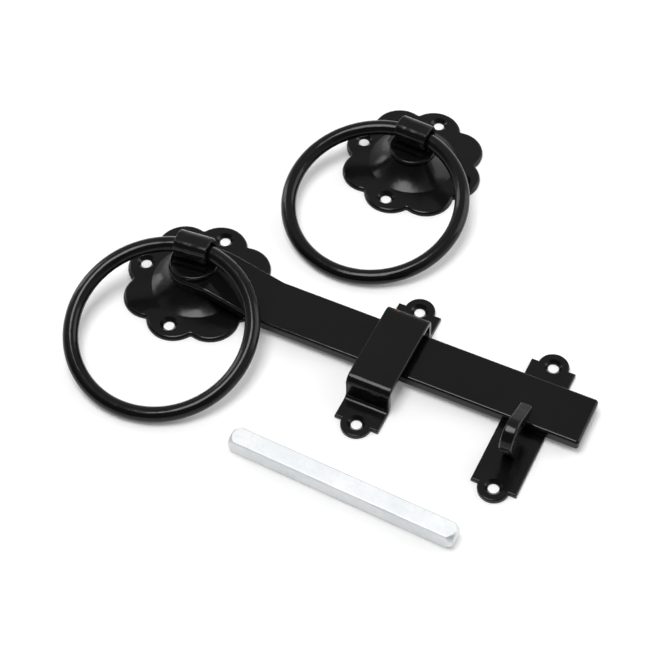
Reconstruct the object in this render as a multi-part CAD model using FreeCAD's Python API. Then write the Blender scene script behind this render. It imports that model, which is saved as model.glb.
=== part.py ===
import FreeCAD, Part
import math
import os

from FreeCAD import Vector

# A ring gate latch lying as it is laid out before fitting: the latch handle with its lifting bar,
# the guide bridge over the bar, the keep with its hook, the plain handle for the gate's other face
# and the loose square spindle that joins the two handles.
# Millimetres and degrees. The gate face is z = 0, the latch handle turns about the z axis,
# +x runs along the bar and +y is up on the hung gate.

# Driving dimensions: pressed rose
rose_sheet = 2.0
rose_lobes = 8
rose_radius = 32.2
rose_notch_radius = 28.1
rose_notch_round = 1.0
rose_rim_round = 1.4
dome_foot_radius = 19.5
dome_land_radius = 10.0
dome_height = 9.3
dome_hollow = 0.8
dome_crease_round = 0.8
dome_shoulder_round = 1.2
rose_screw_count = 4
rose_screw_circle = 50.0
rose_screw_hole = 4.6
rose_countersink = 7.4
countersink_angle = 90.0

# Driving dimensions: hub, its washer and the spindle
journal_diameter = 14.0
journal_gap = 0.05
turning_gap = 0.1
hub_disc_diameter = 21.0
hub_disc_thickness = 2.2
hub_disc_round = 0.8
hub_tail_diameter = 13.2
hub_tail_rim = 0.9
washer_diameter = 16.0
washer_thickness = 1.5
rivet_diameter = 6.0
spindle_side = 8.0
spindle_length = 98.0
spindle_edge_round = 0.6
spindle_end_radius = 3.6
spindle_end_angle = 36.0
socket_gap = 0.1
socket_floor = 1.2

# Driving dimensions: ring and strap
ring_radius = 37.75
ring_wire = 6.5
strap_width = 14.5
strap_thickness = 1.8
strap_eye_gap = 0.35
strap_eye_rise = 0.9
strap_eye_back = 1.2
strap_foot_front = 5.6
strap_corner_round = 1.8
strap_lip_gap = 3.0
strap_edge_round = 0.4

# Driving dimensions: latch bar
bar_width = 23.0
bar_thickness = 5.0
bar_reach = 176.5
bar_key = 14.0
bar_key_gap = 0.05
bar_crank_clear = 0.9
bar_crank_run = 24.5
bar_bend = 8.0
bar_edge_round = 1.1
bar_tip_round = 1.4
bar_lift_angle = 1.05
bar_drop_angle = 2.4

# Driving dimensions: guide bridge and keep
plate_width = 19.2
plate_thickness = 2.0
plate_ear_radius = 6.5
plate_shoulder = 0.3
plate_hole = 4.6
plate_countersink = 7.2
plate_edge_round = 0.6
plate_bar_gap = 0.4
guide_x = 92.0
guide_hole_spacing = 62.0
guide_height = 14.0
guide_window = 37.9
guide_bend = 2.8
guide_gap = 0.2
bar_past_keep = 23.5
keep_hole_spacing = 63.2
keep_hook_offset = 13.2
hook_width = 5.2
hook_depth = 6.6
hook_knee_height = 26.0
hook_tip_height = 14.6
hook_lean = 26.0
hook_bend = 4.2
hook_edge_round = 0.9
hook_seat_gap = 0.4
hook_tip_gap = 0.4
hook_tenon = 4.0

# Driving dimensions: where the loose pieces lie
latch_ring_turn = 5.0
plain_handle_x = 54.5
plain_handle_y = 101.5
plain_rose_turn = -4.0
plain_ring_turn = -3.5
spindle_x = 51.3
spindle_y = -64.9
spindle_turn = -2.2

# Sizes that follow from the driving dimensions
origin = Vector(0, 0, 0)
up = Vector(0, 0, 1)
rose_hole_radius = journal_diameter / 2 + journal_gap
journal_top = dome_height + turning_gap
wire_radius = ring_wire / 2
ring_sag = ring_radius - math.sqrt(ring_radius ** 2 - (strap_width / 2) ** 2)
ring_arm = ring_radius - ring_sag / 2
strap_eye_radius = wire_radius + ring_sag / 2 + strap_eye_gap
bar_underside = max(plate_thickness, rose_sheet) + plate_bar_gap
bar_crank_start = dome_land_radius + bar_crank_clear
lift = math.radians(bar_lift_angle)
drop = math.radians(bar_drop_angle)
keep_x = bar_reach - bar_past_keep
guide_y = bar_width / 2 + (guide_x + plate_width / 2) * math.sin(lift) + guide_gap - guide_window / 2
hook_seat_y = -bar_width / 2 - (keep_x + hook_width / 2) * math.sin(drop) - hook_seat_gap
hook_tip_y = -bar_width / 2 + (keep_x - hook_width / 2) * math.sin(lift) - hook_tip_gap
hook_foot_y = hook_seat_y - hook_depth / 2 / math.cos(math.radians(hook_lean))
keep_y = hook_foot_y + keep_hook_offset


def polar(radius, angle, height=0.0):
    """Point at a radius and an angle in degrees about the z axis."""
    turn = math.radians(angle)
    return Vector(radius * math.cos(turn), radius * math.sin(turn), height)


def arc(start, middle, end):
    """Round edge through three points."""
    return Part.Arc(start, middle, end).toShape()


def face_of(edges):
    """Flat face inside a closed run of edges."""
    return Part.Face(Part.Wire(Part.__sortEdges__(edges)))


def rod(radius, low, high, place=origin):
    """Upright round rod between two heights."""
    return Part.makeCylinder(radius, high - low, Vector(place.x, place.y, low), up)


def square_rod(side, low, high):
    """Upright square rod on the z axis between two heights."""
    return Part.makeBox(side, side, high - low, Vector(-side / 2, -side / 2, low))


def round_edges(solid, radius, wanted):
    """Rounds the edges of a solid that the test picks."""
    return solid.makeFillet(radius, [edge for edge in solid.Edges if wanted(edge)])


def lies_flat(edge, height):
    """True where an edge lies in the level plane of a given height."""
    box = edge.BoundBox
    return abs(box.ZMin - height) < 1e-4 and abs(box.ZMax - height) < 1e-4


def is_circle(edge, radius, height):
    """True where an edge is a level circle about the z axis of a given radius."""
    box = edge.BoundBox
    return lies_flat(edge, height) and abs(box.XMax - radius) < 1e-3 and abs(box.YMin + radius) < 1e-3


def runs_along(edge, profile):
    """True where the middle of an edge lies over a profile drawn at x = 0."""
    middle = edge.valueAt((edge.FirstParameter + edge.LastParameter) / 2)
    return Part.Vertex(0, middle.y, middle.z).distToShape(profile)[0] < 1e-4


def strip_line(corners, bend, offset):
    """Edges of a line beside a bent middle line: straight runs with a round bend at each corner."""
    runs = [(b - a).normalize() for a, b in zip(corners, corners[1:])]
    sides = [Vector(-run.y, run.x, 0) for run in runs]
    edges = []
    here = corners[0] + sides[0] * offset
    for corner, before, after, side, next_side in zip(corners[1:], runs, runs[1:], sides, sides[1:]):
        turn = math.atan2(before.cross(after).z, before.dot(after))
        tangent = bend * math.tan(abs(turn) / 2)
        hand = math.copysign(1.0, turn)
        start = corner - before * tangent
        centre = start + side * (bend * hand)
        reach = bend - offset * hand
        middle = centre - (side + next_side).normalize() * (reach * hand)
        bend_start = start + side * offset
        bend_end = corner + after * tangent + next_side * offset
        edges.append(Part.makeLine(here, bend_start))
        edges.append(arc(bend_start, middle, bend_end))
        here = bend_end
    edges.append(Part.makeLine(here, corners[-1] + sides[-1] * offset))
    return edges


def bent_strip(corners, bend, thickness, width):
    """Strip of even thickness bent along its corners, drawn in x and y and as wide as asked in z."""
    one = strip_line(corners, bend, thickness / 2)
    other = strip_line(corners, bend, -thickness / 2)
    ends = [
        Part.makeLine(one[0].Vertexes[0].Point, other[0].Vertexes[0].Point),
        Part.makeLine(one[-1].Vertexes[-1].Point, other[-1].Vertexes[-1].Point),
    ]
    strip = face_of(one + other + ends).extrude(up * width)
    return strip.translated(Vector(0, 0, -width / 2))


def stand_across(strip):
    """Turns a strip drawn in x and y so that its profile stands in y and z."""
    return strip.rotated(origin, Vector(1, 1, 1), 120)


def stand_along(strip):
    """Turns a strip drawn in x and y so that its profile stands in x and z."""
    return strip.rotated(origin, Vector(1, 0, 0), 90)


def rose_outline():
    """Scalloped outline: a round lobe for each petal, with a small round in each notch."""
    step = 360.0 / rose_lobes
    notch_centre = rose_notch_radius + rose_notch_round
    span = rose_radius + rose_notch_round
    lobe_centre = (span ** 2 - notch_centre ** 2) / (
        2 * (span - notch_centre * math.cos(math.radians(step / 2))))
    lobe_radius = rose_radius - lobe_centre

    def meeting(lobe_angle, notch_angle):
        lobe = polar(lobe_centre, lobe_angle)
        toward_notch = polar(notch_centre, notch_angle) - lobe
        return lobe + toward_notch.normalize() * lobe_radius

    edges = []
    for lobe in range(rose_lobes):
        angle = lobe * step
        notch_angle = angle + step / 2
        lobe_end = meeting(angle, notch_angle)
        next_start = meeting(angle + step, notch_angle)
        edges.append(arc(meeting(angle, angle - step / 2), polar(rose_radius, angle), lobe_end))
        edges.append(arc(lobe_end, polar(rose_notch_radius, notch_angle), next_start))
    return edges


def bell():
    """Pressed bell of even sheet: a hollow flare rises from a crease to a flat land round the journal."""
    land_edge = Vector(dome_land_radius, 0, dome_height)
    crease = Vector(dome_foot_radius, 0, rose_sheet)
    chord = crease - land_edge
    outward = Vector(-chord.z, 0, chord.x).normalize()
    flare_round = (chord.Length ** 2 / 4 + dome_hollow ** 2) / (2 * dome_hollow)
    centre = (land_edge + crease) * 0.5 + outward * (flare_round - dome_hollow)

    def skin(depth):
        reach = flare_round + depth

        def at(height):
            return Vector(centre.x - math.sqrt(reach ** 2 - (centre.z - height) ** 2), 0, height)

        high = dome_height - depth
        low = rose_sheet - depth
        land = Vector(rose_hole_radius, 0, high)
        edges = [Part.makeLine(land, at(high)), arc(at(high), at((high + low) / 2), at(low))]
        return land, edges, at(low)

    top_land, top_edges, top_foot = skin(0.0)
    under_land, under_edges, under_foot = skin(rose_sheet)
    rim = Vector(dome_foot_radius, 0, 0)
    ends = [
        Part.makeLine(top_land, under_land),
        Part.makeLine(top_foot, rim),
        Part.makeLine(rim, under_foot),
    ]
    return face_of(top_edges + under_edges + ends).revolve(origin, up, 360)


def countersunk_hole(hole, sink, sheet, place):
    """Solid that cuts a screw hole and its countersink through a sheet lying on the gate face."""
    depth = (sink - hole) / 2 / math.tan(math.radians(countersink_angle / 2))
    cone = Part.makeCone(hole / 2, sink / 2, depth, place + up * (sheet - depth), up)
    return rod(hole / 2, 0, sheet, place).fuse(cone)


def rose():
    """Rose pressed from one sheet: scalloped flange with a rolled edge, bell, countersunk screw holes."""
    flange = face_of(rose_outline()).extrude(up * rose_sheet)
    flange = round_edges(flange, rose_rim_round, lambda edge: lies_flat(edge, rose_sheet))
    flange = flange.cut(rod(dome_foot_radius, 0, rose_sheet))
    pressed = flange.fuse(bell()).removeSplitter()
    soft_edges = [
        (dome_crease_round, dome_foot_radius, rose_sheet),
        (dome_shoulder_round, dome_land_radius, dome_height),
    ]
    for soft, radius, height in soft_edges:
        pressed = round_edges(pressed, soft, lambda edge: is_circle(edge, radius, height))
    for screw in range(rose_screw_count):
        place = polar(rose_screw_circle / 2, screw * 360.0 / rose_screw_count)
        pressed = pressed.cut(countersunk_hole(rose_screw_hole, rose_countersink, rose_sheet, place))
    return pressed


def hub(key_height):
    """Turned hub: disc, square key for the bar, journal, tail peened over the washer, square socket."""
    disc_low = journal_top + key_height
    disc_high = disc_low + hub_disc_thickness
    washer_top = dome_height - rose_sheet - turning_gap
    washer_low = washer_top - washer_thickness
    tail_low = washer_low - hub_tail_rim
    disc = rod(hub_disc_diameter / 2, disc_low, disc_high)
    disc = round_edges(disc, hub_disc_round, lambda edge: lies_flat(edge, disc_high))
    body = disc.fuse(rod(journal_diameter / 2, washer_top, disc_low))
    body = body.fuse(rod(hub_tail_diameter / 2, washer_low, washer_top))
    body = body.fuse(rod(journal_diameter / 2, tail_low, washer_low))
    body = body.fuse(rod(rivet_diameter / 2, disc_high, disc_high + strap_thickness))
    if key_height > 0:
        body = body.fuse(square_rod(bar_key, journal_top, disc_low))
    socket = square_rod(spindle_side + 2 * socket_gap, tail_low, disc_high - socket_floor)
    return body.cut(socket).removeSplitter()


def hub_washer():
    """Washer held behind the bell by the hub's peened tail."""
    top = dome_height - rose_sheet - turning_gap
    ring = rod(washer_diameter / 2, top - washer_thickness, top)
    return ring.cut(rod(hub_tail_diameter / 2, top - washer_thickness, top))


def strap(key_height):
    """Strip folded over the ring: a flat foot riveted on the hub's disc, a round back, a square front lip."""
    foot_low = journal_top + key_height + hub_disc_thickness
    eye_z = foot_low + strap_thickness + strap_eye_radius
    half = strap_thickness / 2
    middle = strap_eye_radius + half
    corner = strap_corner_round + half
    back_z = eye_z + strap_eye_rise
    top = back_z + middle
    front = strap_eye_back - middle
    lip_low = foot_low + strap_thickness + strap_lip_gap

    def quarter(y, z, radius, start):
        spots = [polar(radius, start + turn) for turn in (0, 45, 90)]
        return [Vector(y, z, 0) + spot for spot in spots]

    def line(offset):
        foot_front = Vector(-strap_foot_front, foot_low + half - offset, 0)
        low_bend = quarter(strap_eye_back, eye_z, middle + offset, -90)
        high_bend = quarter(strap_eye_back, back_z, middle + offset, 0)
        front_bend = quarter(front + corner, top - corner, corner + offset, 90)
        lip_end = Vector(front - offset, lip_low, 0)
        edges = [
            Part.makeLine(foot_front, low_bend[0]),
            arc(*low_bend),
            Part.makeLine(low_bend[-1], high_bend[0]),
            arc(*high_bend),
            Part.makeLine(high_bend[-1], front_bend[0]),
            arc(*front_bend),
            Part.makeLine(front_bend[-1], lip_end),
        ]
        return foot_front, edges, lip_end

    outer_foot, outer_edges, outer_lip = line(half)
    inner_foot, inner_edges, inner_lip = line(-half)
    ends = [Part.makeLine(outer_foot, inner_foot), Part.makeLine(outer_lip, inner_lip)]
    strip = face_of(outer_edges + inner_edges + ends).extrude(up * strap_width)
    strip = stand_across(strip.translated(Vector(0, 0, -strap_width / 2)))
    outer_skin = stand_across(Part.Wire(outer_edges[1:]))

    def outer_rim(edge):
        return runs_along(edge, outer_skin) and edge.BoundBox.XLength < 1e-3

    strip = round_edges(strip, strap_edge_round, outer_rim)
    return strip.cut(rod(rivet_diameter / 2, foot_low, foot_low + strap_thickness))


def ring(key_height):
    """Round ring hung in the strap's eye, leaning down until its wire meets the gate face."""
    eye_z = journal_top + key_height + hub_disc_thickness + strap_thickness + strap_eye_radius
    lean = math.degrees(math.asin((eye_z - wire_radius) / (ring_arm + ring_radius)))
    wire = Part.makeTorus(ring_radius, wire_radius, Vector(0, -ring_arm, 0), up)
    leaning = wire.rotated(origin, Vector(1, 0, 0), lean)
    return leaning.translated(Vector(0, strap_eye_back, eye_z))


def latch_bar():
    """Flat bar: round end keyed on the hub, cranked down to run just clear of the gate face."""
    hub_level = journal_top + bar_thickness / 2
    gate_level = bar_underside + bar_thickness / 2
    back = -bar_width / 2
    line = [
        Vector(back, hub_level, 0),
        Vector(bar_crank_start, hub_level, 0),
        Vector(bar_crank_start + bar_crank_run, gate_level, 0),
        Vector(bar_reach, gate_level, 0),
    ]
    side = stand_along(bent_strip(line, bar_bend, bar_thickness, bar_width))
    half = bar_width / 2
    corner = bar_tip_round
    shrink = corner * (1 - 1 / math.sqrt(2))
    edges = [
        arc(Vector(0, half, 0), Vector(-half, 0, 0), Vector(0, -half, 0)),
        Part.makeLine(Vector(bar_reach, corner - half, 0), Vector(bar_reach, half - corner, 0)),
    ]
    for hand in (1, -1):
        edge_end = Vector(bar_reach - corner, hand * half, 0)
        corner_middle = Vector(bar_reach - shrink, hand * (half - shrink), 0)
        tip_start = Vector(bar_reach, hand * (half - corner), 0)
        edges.append(Part.makeLine(Vector(0, hand * half, 0), edge_end))
        edges.append(arc(edge_end, corner_middle, tip_start))
    plan = face_of(edges).extrude(up * (hub_level + bar_thickness))
    bar = side.common(plan)

    def rim(edge):
        return edge.Length > bar_thickness + 1e-3 or edge.BoundBox.ZLength < 1e-4

    bar = round_edges(bar, bar_edge_round, rim)
    key_hole = square_rod(bar_key + 2 * bar_key_gap, 0, hub_level + bar_thickness)
    return bar.cut(key_hole)


def eared_plan(hole_spacing):
    """Outline of a fixing plate along y: square shoulders and a round ear about each screw hole."""
    side = plate_width / 2
    hole_y = hole_spacing / 2
    shoulder_y = hole_y + plate_shoulder
    ear_x = math.sqrt(plate_ear_radius ** 2 - plate_shoulder ** 2)
    edges = []
    for end in (1, -1):
        def at(x, y):
            return Vector(x * end, y * end, 0)
        edges.append(Part.makeLine(at(side, -shoulder_y), at(side, shoulder_y)))
        edges.append(Part.makeLine(at(side, shoulder_y), at(ear_x, shoulder_y)))
        edges.append(arc(at(ear_x, shoulder_y), at(0, hole_y + plate_ear_radius), at(-ear_x, shoulder_y)))
        edges.append(Part.makeLine(at(-ear_x, shoulder_y), at(-side, shoulder_y)))
    return face_of(edges)


def eared_plate(hole_spacing):
    """Flat fixing plate with a softened upper edge and its two countersunk screw holes."""
    plate = eared_plan(hole_spacing).extrude(up * plate_thickness)
    plate = round_edges(plate, plate_edge_round, lambda edge: lies_flat(edge, plate_thickness))
    for end in (1, -1):
        hole_place = Vector(0, end * hole_spacing / 2, 0)
        plate = plate.cut(countersunk_hole(plate_hole, plate_countersink, plate_thickness, hole_place))
    return plate


def guide_bridge():
    """Strip folded into a bridge over the bar, with an eared foot at each end."""
    half = plate_thickness / 2
    leg = guide_window / 2 + half
    foot = leg + guide_bend + plate_thickness
    roof = guide_height - half
    line = [
        Vector(-foot, half, 0),
        Vector(-leg, half, 0),
        Vector(-leg, roof, 0),
        Vector(leg, roof, 0),
        Vector(leg, half, 0),
        Vector(foot, half, 0),
    ]
    arch = stand_across(bent_strip(line, guide_bend, plate_thickness, plate_width))
    outer_skin = stand_across(Part.Wire(strip_line(line, guide_bend, half)))

    def outer_rim(edge):
        return runs_along(edge, outer_skin) and edge.BoundBox.XLength < 1e-3

    arch = round_edges(arch, plate_edge_round, outer_rim)
    under_arch = Part.makeBox(plate_width, 2 * foot, plate_thickness, Vector(-plate_width / 2, -foot, 0))
    feet = eared_plate(guide_hole_spacing).cut(under_arch)
    return arch.fuse(feet).removeSplitter().translated(Vector(guide_x, guide_y, 0))


def keep_plate():
    """Flat fixing plate with the hole that takes the hook's tenon."""
    plate = eared_plate(keep_hole_spacing).translated(Vector(keep_x, keep_y, 0))
    return plate.cut(rod(hook_tenon / 2, 0, plate_thickness, Vector(keep_x, hook_foot_y, 0)))


def keep_hook():
    """Bent hook standing on the keep: it leans out, bends over and reaches down across the bar's edge."""
    lean = math.radians(hook_lean)
    foot = Vector(hook_foot_y, plate_thickness, 0)
    knee = Vector(hook_foot_y - (hook_knee_height - plate_thickness) * math.tan(lean), hook_knee_height, 0)
    fall = math.atan2(hook_knee_height - hook_tip_height, hook_tip_y - knee.x)
    tip = Vector(hook_tip_y - hook_depth / 2 * math.sin(fall), hook_tip_height, 0)
    below = foot + (foot - knee).normalize() * hook_depth
    bar = stand_across(bent_strip([below, knee, tip], hook_bend, hook_depth, hook_width))
    buried = Part.makeBox(hook_width, 4 * hook_depth, 2 * hook_depth)
    corner = Vector(-hook_width / 2, hook_foot_y - 2 * hook_depth, plate_thickness - 2 * hook_depth)
    bar = bar.cut(buried.translated(corner))
    bar = round_edges(bar, hook_edge_round, lambda edge: not lies_flat(edge, plate_thickness))
    tenon = rod(hook_tenon / 2, 0, plate_thickness, Vector(0, hook_foot_y, 0))
    return bar.fuse(tenon).removeSplitter().translated(Vector(keep_x, 0, 0))


def spindle():
    """Loose square spindle lying on one flat, with each end turned to a cone that cuts the corners back."""
    half = spindle_side / 2
    along = Vector(1, 0, 0)
    bar = Part.makeBox(spindle_length, spindle_side, spindle_side, Vector(0, -half, 0))
    bar = round_edges(bar, spindle_edge_round, lambda edge: edge.BoundBox.XLength > spindle_side)
    cone_length = (spindle_side - spindle_end_radius) / math.tan(math.radians(spindle_end_angle))
    for end, inward in ((0.0, along), (spindle_length, along * -1)):
        place = Vector(end, 0, half)
        cone = Part.makeCone(spindle_end_radius, spindle_side, cone_length, place, inward)
        sleeve = Part.makeCylinder(spindle_side, cone_length, place, inward)
        bar = bar.cut(sleeve.cut(cone))
    return bar.rotated(origin, up, spindle_turn).translated(Vector(spindle_x, spindle_y, 0))


def turned(shape, angle, place=origin):
    """Shape turned about the z axis and set down on a place."""
    return shape.rotated(origin, up, angle).translated(place)


plain_place = Vector(plain_handle_x, plain_handle_y, 0)
pieces = {
    "latch_rose": rose(),
    "latch_hub": hub(bar_thickness),
    "latch_hub_washer": hub_washer(),
    "latch_bar": latch_bar(),
    "latch_ring_strap": turned(strap(bar_thickness), latch_ring_turn),
    "latch_ring": turned(ring(bar_thickness), latch_ring_turn),
    "guide_bridge": guide_bridge(),
    "keep_plate": keep_plate(),
    "keep_hook": keep_hook(),
    "plain_rose": turned(rose(), plain_rose_turn, plain_place),
    "plain_hub": turned(hub(0), plain_ring_turn, plain_place),
    "plain_hub_washer": turned(hub_washer(), plain_ring_turn, plain_place),
    "plain_ring_strap": turned(strap(0), plain_ring_turn, plain_place),
    "plain_ring": turned(ring(0), plain_ring_turn, plain_place),
    "spindle": spindle(),
}

os.makedirs("parts", exist_ok=True)
for name, shape in pieces.items():
    shape.exportStep("parts/" + name + ".step")
    print(name, "solids", len(shape.Solids), "valid", shape.isValid(), "volume", round(shape.Volume, 2))
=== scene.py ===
import math

import bpy
import numpy as np
from mathutils import Matrix, Vector


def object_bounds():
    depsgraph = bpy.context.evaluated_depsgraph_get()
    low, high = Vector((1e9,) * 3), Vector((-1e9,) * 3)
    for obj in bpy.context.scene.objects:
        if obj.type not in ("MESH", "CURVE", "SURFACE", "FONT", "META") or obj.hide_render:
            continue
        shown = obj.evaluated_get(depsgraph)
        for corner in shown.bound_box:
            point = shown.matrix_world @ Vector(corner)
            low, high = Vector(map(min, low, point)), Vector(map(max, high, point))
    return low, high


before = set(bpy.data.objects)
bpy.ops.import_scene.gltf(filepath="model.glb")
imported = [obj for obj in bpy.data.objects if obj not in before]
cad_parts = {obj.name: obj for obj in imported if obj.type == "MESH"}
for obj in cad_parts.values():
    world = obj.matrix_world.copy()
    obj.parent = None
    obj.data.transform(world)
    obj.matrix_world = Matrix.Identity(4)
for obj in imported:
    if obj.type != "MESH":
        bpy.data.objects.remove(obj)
solid_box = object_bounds()


# The two roses: scalloped back plates pressed from 2 mm mild steel, with a bell raised in the middle.
# They are dipped in black japan and baked, so the coat flows over every edge and into the countersinks.
MM = 0.001


def linear(code):
    """sRGB hex code to linear RGBA: each channel is undone by the sRGB curve, and alpha is 1."""
    channel = np.array([int(code[i:i + 2], 16) for i in (1, 3, 5)]) / 255.0
    light = np.where(channel <= 0.04045, channel / 12.92, ((channel + 0.055) / 1.055) ** 2.4)
    return (*light.tolist(), 1.0)


def add(tree, kind, inputs=None, **settings):
    """Adds one node with its settings and links.

    Settings are the node's properties. Each input is a plain value, or the socket that feeds it.
    """
    node = tree.nodes.new(kind)
    for name, value in settings.items():
        setattr(node, name, value)
    for name, value in (inputs or {}).items():
        if isinstance(value, bpy.types.NodeSocket):
            tree.links.new(value, node.inputs[name])
        else:
            node.inputs[name].default_value = value
    return node


def start_material(name):
    """An empty node material, with its tree, its output node and the Object coordinates socket."""
    material = bpy.data.materials.new(name)
    material.use_nodes = True
    tree = material.node_tree
    tree.nodes.clear()
    output = add(tree, "ShaderNodeOutputMaterial")
    place = add(tree, "ShaderNodeTexCoord").outputs["Object"]
    return material, tree, output, place


# A Mix node's sockets go by number: its factor, then the two inputs and the output for colours,
# then the same for plain numbers.
FACTOR = 0
COLOUR_FIRST, COLOUR_SECOND, COLOUR_BLEND = 6, 7, 2
NUMBER_FIRST, NUMBER_SECOND, NUMBER_BLEND = 2, 3, 0

# Nearly all of a noise pattern lies between these two levels.
NOISE_LOW, NOISE_HIGH = 0.3, 0.7


def black_japan(name, edge_wear_and_highlight, uneven_mm, roughness=(0.15, 0.24), chip=None):
    """Black japan baked on steel: a thick, self-levelled, hard black film.

    To the eye it is near black with a clear gloss, a slow drift in gloss where hands and packing have
    touched it, a faint orange peel, and a greyer, duller line where the film draws thin over an edge.
    That edge line is painted lighter than thin film alone: it is also a painted highlight, standing in
    for the light lines that the rounded edges catch. The second argument is how far the edges show
    this wear and painted highlight, uneven_mm is how far the steel beneath waves in or out,
    roughness is the span of the drift in gloss, and chip is the place and the reach, in mm, of a spot
    where the film has come off.
    """
    # The third colour is the grey of the edge line: partly thin film over the edge, partly a painted
    # highlight for the light lines that rounded edges catch.
    film_dark, film_light, thin_film_and_highlight = "#090909", "#121212", "#3d3c39"
    film_ior, film_specular = 1.5, 0.25
    cloud_mm, smudge_mm, wave_mm, peel_mm = 26.0, 9.0, 5.0, 1.1
    peel_height_mm, peel_strength = 0.03, 0.12
    # An edge is where few of the rays sent into the steel run free for edge_mm.
    edge_mm, edge_rays = 0.8, 8
    edge_starts, edge_full = 0.42, 0.16
    patch_starts, patch_full, rub_dulls = 0.38, 0.66, 0.06

    material, tree, output, place = start_material(name)
    cloud = add(tree, "ShaderNodeTexNoise",
                {"Vector": place, "Scale": 1 / (cloud_mm * MM), "Detail": 3.0})
    smudge = add(tree, "ShaderNodeTexNoise",
                 {"Vector": place, "Scale": 1 / (smudge_mm * MM), "Detail": 4.0, "Roughness": 0.6})
    film = add(tree, "ShaderNodeMix",
               {FACTOR: cloud.outputs["Fac"], COLOUR_FIRST: linear(film_dark),
                COLOUR_SECOND: linear(film_light)}, data_type="RGBA")
    inward = add(tree, "ShaderNodeAmbientOcclusion", {"Distance": edge_mm * MM},
                 samples=edge_rays, inside=True, only_local=True)
    edge = add(tree, "ShaderNodeMapRange",
               {"Value": inward.outputs["AO"], "From Min": edge_starts, "From Max": edge_full,
                "To Max": edge_wear_and_highlight})
    broken = add(tree, "ShaderNodeMapRange",
                 {"Value": smudge.outputs["Fac"], "From Min": patch_starts, "From Max": patch_full})
    worn_and_highlit = add(tree, "ShaderNodeMath", {0: edge.outputs["Result"], 1: broken.outputs["Result"]},
               operation="MULTIPLY")
    # Painted highlight and wear: on convex edges, in patches, the film turns that lighter grey.
    colour = add(tree, "ShaderNodeMix",
                 {FACTOR: worn_and_highlit.outputs[0], COLOUR_FIRST: film.outputs[COLOUR_BLEND],
                  COLOUR_SECOND: linear(thin_film_and_highlight)}, data_type="RGBA").outputs[COLOUR_BLEND]
    drift = add(tree, "ShaderNodeMapRange",
                {"Value": smudge.outputs["Fac"], "From Min": NOISE_LOW, "From Max": NOISE_HIGH,
                 "To Min": roughness[0], "To Max": roughness[1]})
    rough = add(tree, "ShaderNodeMath", {0: worn_and_highlit.outputs[0], 1: rub_dulls, 2: drift.outputs["Result"]},
                operation="MULTIPLY_ADD").outputs[0]
    metallic = 0.0

    if chip:
        bare_steel, bare_roughness = "#a2724f", 0.42
        grain_mm, ragged_share, rim_share = 0.8, 1.6, 0.1
        (x, y, z), reach = chip
        grain = add(tree, "ShaderNodeTexNoise",
                    {"Vector": place, "Scale": 1 / (grain_mm * MM), "Detail": 3.0})
        away = add(tree, "ShaderNodeVectorMath",
                   {0: place, 1: (x * MM, y * MM, z * MM)}, operation="DISTANCE")
        ragged = add(tree, "ShaderNodeMath",
                     {0: grain.outputs["Fac"], 1: -ragged_share * reach * MM, 2: away.outputs["Value"]},
                     operation="MULTIPLY_ADD")
        bare = add(tree, "ShaderNodeMapRange",
                   {"Value": ragged.outputs[0], "From Min": rim_share * reach * MM,
                    "From Max": -rim_share * reach * MM})
        metallic = bare.outputs["Result"]
        colour = add(tree, "ShaderNodeMix",
                     {FACTOR: metallic, COLOUR_FIRST: colour, COLOUR_SECOND: linear(bare_steel)},
                     data_type="RGBA").outputs[COLOUR_BLEND]
        rough = add(tree, "ShaderNodeMix",
                    {FACTOR: metallic, NUMBER_FIRST: rough,
                     NUMBER_SECOND: bare_roughness}).outputs[NUMBER_BLEND]

    wave = add(tree, "ShaderNodeTexNoise",
               {"Vector": place, "Scale": 1 / (wave_mm * MM), "Detail": 1.0})
    peel = add(tree, "ShaderNodeTexNoise",
               {"Vector": place, "Scale": 1 / (peel_mm * MM), "Detail": 2.0})
    waved = add(tree, "ShaderNodeBump", {"Height": wave.outputs["Fac"], "Distance": uneven_mm * MM})
    peeled = add(tree, "ShaderNodeBump",
                 {"Height": peel.outputs["Fac"], "Strength": peel_strength,
                  "Distance": peel_height_mm * MM, "Normal": waved.outputs["Normal"]})
    shader = add(tree, "ShaderNodeBsdfPrincipled",
                 {"Base Color": colour, "Roughness": rough, "Metallic": metallic, "IOR": film_ior,
                  "Specular IOR Level": film_specular, "Normal": peeled.outputs["Normal"]})
    tree.links.new(shader.outputs["BSDF"], output.inputs["Surface"])
    return material


def dress(material, *names):
    """Gives the CAD nodes that material in their one slot."""
    for name in names:
        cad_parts[name].material_slots[0].material = material


dress(black_japan("black_japan_rose", edge_wear_and_highlight=0.7, uneven_mm=0.12), "latch_rose", "plain_rose")


# The two hubs with their washers: turned steel, running in the bells, with a disc in front, a square
# socket behind, and the tail peened over a washer inside the bell. Dipped with the rest.
dress(black_japan("black_japan_hub", edge_wear_and_highlight=0.6, uneven_mm=0.05),
      "latch_hub", "latch_hub_washer", "plain_hub", "plain_hub_washer")


# The lifting bar: a length of 23 x 5 mm flat mild steel, cranked down from the hub to the gate face
# and keyed on the hub's square. The rolled flats take the smoothest coat of the set.
# Its edges get the strongest painted highlight and wear of the set.
dress(black_japan("black_japan_bar", edge_wear_and_highlight=0.8, uneven_mm=0.08, roughness=(0.1, 0.17)), "latch_bar")


# The ring straps: short strips of 1.8 mm steel folded round the ring and riveted on the hub's disc.
# Folding leaves uneven faces, which show as a broken reflection.
dress(black_japan("black_japan_strap", edge_wear_and_highlight=0.7, uneven_mm=0.35),
      "latch_ring_strap", "plain_ring_strap")


# The rings: 6.5 mm round bar bent to a full circle and butt welded inside the strap.
# The coat is handled most here, so it drifts a little more in gloss than the bar's.
dress(black_japan("black_japan_ring", edge_wear_and_highlight=0.3, uneven_mm=0.1, roughness=(0.1, 0.2)),
      "latch_ring", "plain_ring")


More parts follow.
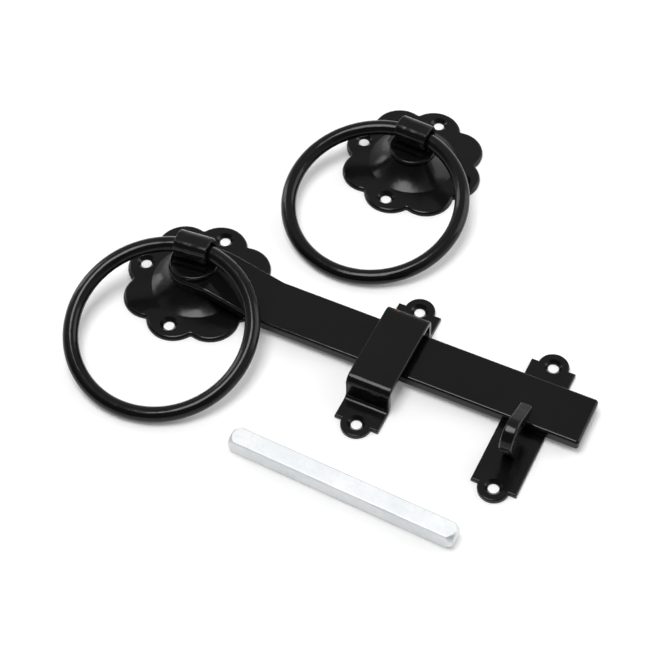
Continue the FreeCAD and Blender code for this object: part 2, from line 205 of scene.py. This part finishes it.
# The guide: a 2 mm strip folded over the bar, with an eared foot at each side for its screw.
# The coat is chipped at one corner of the far fold, where the bare steel has browned.
chip_place_mm, chip_reach_mm = (87.2, 14.2, 13.2), 1.3
dress(black_japan("black_japan_guide", edge_wear_and_highlight=0.7, uneven_mm=0.12, chip=(chip_place_mm, chip_reach_mm)),
      "guide_bridge")


# The keep: a 2 mm plate with an eared screw hole at each end, for the gate post.
# Its hook is steel bar, bent over the lifting bar's path, with a tenon riveted in the plate.
dress(black_japan("black_japan_keep", edge_wear_and_highlight=0.6, uneven_mm=0.15), "keep_plate", "keep_hook")


# The spindle: 8 mm square bright drawn steel bar, zinc plated and cut to length.
# On a gate it joins the two hubs; here it lies loose, turned a little from the bar's line.
def bright_zinc(name, along):
    """Bright zinc plate on drawn bar: a silver white metal with fine lines along the bar.

    To the eye the plate is clouded: paler and cooler patches drift into each other, duller spangles
    a few millimetres across lie on them, and the drawing lines streak the reflection lengthways.
    along is the bar's turn about the z axis. Real drawing lines are finer than these, which are
    drawn as coarse as they need to be to show.
    """
    zinc_pale, zinc_cool, zinc_dull = "#e6e7e8", "#dadee0", "#bac0c4"
    zinc_smooth, zinc_rough = 0.48, 0.6
    line_mm, line_length_mm, cloud_mm, spangle_mm = 0.3, 18.0, 12.0, 2.2
    line_height_mm, line_strength = 0.03, 0.2
    spangle_starts, spangle_full, spangle_dulls = 0.5, 0.8, 0.25

    material, tree, output, place = start_material(name)
    turned = add(tree, "ShaderNodeMapping",
                 {"Vector": place, "Rotation": (0, 0, -along),
                  "Scale": (1 / (line_length_mm * MM), 1 / (line_mm * MM), 1 / (line_mm * MM))})
    lines = add(tree, "ShaderNodeTexNoise",
                {"Vector": turned.outputs["Vector"], "Scale": 1.0, "Detail": 3.0})
    cloud = add(tree, "ShaderNodeTexNoise",
                {"Vector": place, "Scale": 1 / (cloud_mm * MM), "Detail": 4.0})
    spangle = add(tree, "ShaderNodeTexNoise",
                  {"Vector": place, "Scale": 1 / (spangle_mm * MM), "Detail": 3.0, "Roughness": 0.6})
    clouded = add(tree, "ShaderNodeMapRange",
                  {"Value": cloud.outputs["Fac"], "From Min": NOISE_LOW, "From Max": NOISE_HIGH})
    dulled = add(tree, "ShaderNodeMapRange",
                 {"Value": spangle.outputs["Fac"], "From Min": spangle_starts, "From Max": spangle_full,
                  "To Max": spangle_dulls})
    plate = add(tree, "ShaderNodeMix",
                {FACTOR: clouded.outputs["Result"], COLOUR_FIRST: linear(zinc_pale),
                 COLOUR_SECOND: linear(zinc_cool)}, data_type="RGBA")
    colour = add(tree, "ShaderNodeMix",
                 {FACTOR: dulled.outputs["Result"], COLOUR_FIRST: plate.outputs[COLOUR_BLEND],
                  COLOUR_SECOND: linear(zinc_dull)}, data_type="RGBA")
    rough = add(tree, "ShaderNodeMapRange",
                {"Value": lines.outputs["Fac"], "From Min": NOISE_LOW, "From Max": NOISE_HIGH,
                 "To Min": zinc_smooth, "To Max": zinc_rough})
    lined = add(tree, "ShaderNodeBump",
                {"Height": lines.outputs["Fac"], "Strength": line_strength,
                 "Distance": line_height_mm * MM})
    shader = add(tree, "ShaderNodeBsdfPrincipled",
                 {"Base Color": colour.outputs[COLOUR_BLEND], "Roughness": rough.outputs["Result"],
                  "Metallic": 1.0, "Normal": lined.outputs["Normal"]})
    tree.links.new(shader.outputs["BSDF"], output.inputs["Surface"])
    return material


spindle_turn = math.radians(-2.2)
dress(bright_zinc("bright_zinc_spindle", spindle_turn), "spindle")


# The table: a wide sheet of matt white paper just under the set. The soft boxes light it less further
# out, so to the camera and in reflections it also glows, more so with the distance, and stays white.
# The glow sheds no light of its own on the set, and the set's shadow stays on the paper.
WHITE = (1.0, 1.0, 1.0, 1.0)
table_size, table_colour, table_gap_mm = 12.0, "#f0f0f0", 0.02
near_glow, far_glow = 0.14, 0.72
glow_from, glow_to = 0.15, 1.3
half = table_size / 2
table_height = solid_box[0].z - table_gap_mm * MM
table_mesh = bpy.data.meshes.new("table")
table_mesh.from_pydata(
    [(x * half, y * half, table_height) for x, y in ((-1, -1), (1, -1), (1, 1), (-1, 1))],
    [], [(0, 1, 2, 3)])
table = bpy.data.objects.new("table", table_mesh)
bpy.context.scene.collection.objects.link(table)

paper, tree, output, place = start_material("white_table")
sight = add(tree, "ShaderNodeLightPath")
seen = add(tree, "ShaderNodeMath",
           {0: sight.outputs["Is Camera Ray"], 1: sight.outputs["Is Glossy Ray"]}, operation="ADD")
seen = add(tree, "ShaderNodeMath",
           {0: seen.outputs[0], 1: sight.outputs["Is Transmission Ray"]},
           operation="ADD", use_clamp=True)
away = add(tree, "ShaderNodeVectorMath", {0: place}, operation="LENGTH")
spread = add(tree, "ShaderNodeMapRange",
             {"Value": away.outputs["Value"], "From Min": glow_from, "From Max": glow_to,
              "To Min": near_glow, "To Max": far_glow})
glow = add(tree, "ShaderNodeMath", {0: seen.outputs[0], 1: spread.outputs["Result"]},
           operation="MULTIPLY")
matt = add(tree, "ShaderNodeBsdfDiffuse", {"Color": linear(table_colour)})
shine = add(tree, "ShaderNodeEmission", {"Color": WHITE, "Strength": glow.outputs[0]})
both = add(tree, "ShaderNodeAddShader", {0: matt.outputs[0], 1: shine.outputs[0]})
tree.links.new(both.outputs[0], output.inputs["Surface"])
table_mesh.materials.append(paper)


# The light tent: white cloth that is bright low down and greyer overhead, and open to a dark room at
# the front. A direction's height and depth, as parts of 1, tell where each of these starts and ends.
low_light, high_light, low_end, high_start = 0.75, 0.46, 0.1, 0.6
front_share, front_end, side_start = 0.15, -0.5, 0.0
world = bpy.data.worlds.new("light_tent")
bpy.context.scene.world = world
world.use_nodes = True
tree = world.node_tree
tree.nodes.clear()
direction = add(tree, "ShaderNodeTexCoord").outputs["Generated"]
sides = add(tree, "ShaderNodeSeparateXYZ", {"Vector": direction})
cloth = add(tree, "ShaderNodeMapRange",
            {"Value": sides.outputs["Z"], "From Min": low_end, "From Max": high_start,
             "To Min": low_light, "To Max": high_light}, interpolation_type="SMOOTHSTEP")
front = add(tree, "ShaderNodeMapRange",
            {"Value": sides.outputs["Y"], "From Min": front_end, "From Max": side_start,
             "To Min": front_share, "To Max": 1.0}, interpolation_type="SMOOTHSTEP")
strength = add(tree, "ShaderNodeMath", {0: cloth.outputs["Result"], 1: front.outputs["Result"]},
               operation="MULTIPLY")
tent = add(tree, "ShaderNodeBackground", {"Color": WHITE, "Strength": strength.outputs[0]})
add(tree, "ShaderNodeOutputWorld", {"Surface": tent.outputs[0]})


# The soft boxes: one overhead, one low at the left and one behind at the right.
# Each has where it stands, the point it faces, its width and height, all in metres, and its watts.
soft_boxes = {
    "soft_box_top": ((-0.03, -0.13, 1.0), (-0.03, 0.1, 0.0), (0.42, 0.58), 7.0),
    "soft_box_left": ((-0.8, 0.2, 0.45), (0.06, 0.02, 0.0), (0.2, 0.7), 1.5),
    "soft_box_back": ((0.75, 0.6, 0.45), (0.06, 0.02, 0.0), (0.6, 0.8), 2.8),
}
for name, (stands, faces, size, power) in soft_boxes.items():
    lamp = bpy.data.lights.new(name, "AREA")
    lamp.shape = "RECTANGLE"
    lamp.size, lamp.size_y = size
    lamp.energy = power
    lamp_object = bpy.data.objects.new(name, lamp)
    lamp_object.location = stands
    lamp_object.rotation_euler = (Vector(faces) - Vector(stands)).to_track_quat("-Z", "Y").to_euler()
    bpy.context.scene.collection.objects.link(lamp_object)


# The camera: it stands as for the photograph, in front and to the right, looking well down.
# Its turn, height and roll are angles, and its distance, in metres, is from the point it looks at.
view_turn, view_height, view_roll = map(math.radians, (27.14, 53.49, -1.58))
view_distance, view_target = 0.7207, Vector((0.06321, 0.00114, 0.0))
sensor_width, focal_pixels, picture_pixels = 36.0, 1731.8, 665
nearest_seen = 0.01
across = Vector((math.cos(view_turn), math.sin(view_turn), 0.0))
ahead = Vector((-math.sin(view_turn) * math.cos(view_height),
                math.cos(view_turn) * math.cos(view_height), -math.sin(view_height)))
above = across.cross(ahead)
right = math.cos(view_roll) * across + math.sin(view_roll) * above
upward = math.cos(view_roll) * above - math.sin(view_roll) * across
camera_data = bpy.data.cameras.new("photo_view")
camera_data.sensor_width = sensor_width
camera_data.lens = sensor_width * focal_pixels / picture_pixels
camera_data.clip_start = nearest_seen
camera = bpy.data.objects.new("photo_view", camera_data)
camera.matrix_world = (Matrix.Translation(view_target - view_distance * ahead)
                       @ Matrix((right, upward, -ahead)).transposed().to_4x4())
bpy.context.scene.collection.objects.link(camera)
bpy.context.scene.camera = camera
bpy.context.scene.view_settings.view_transform = "Standard"
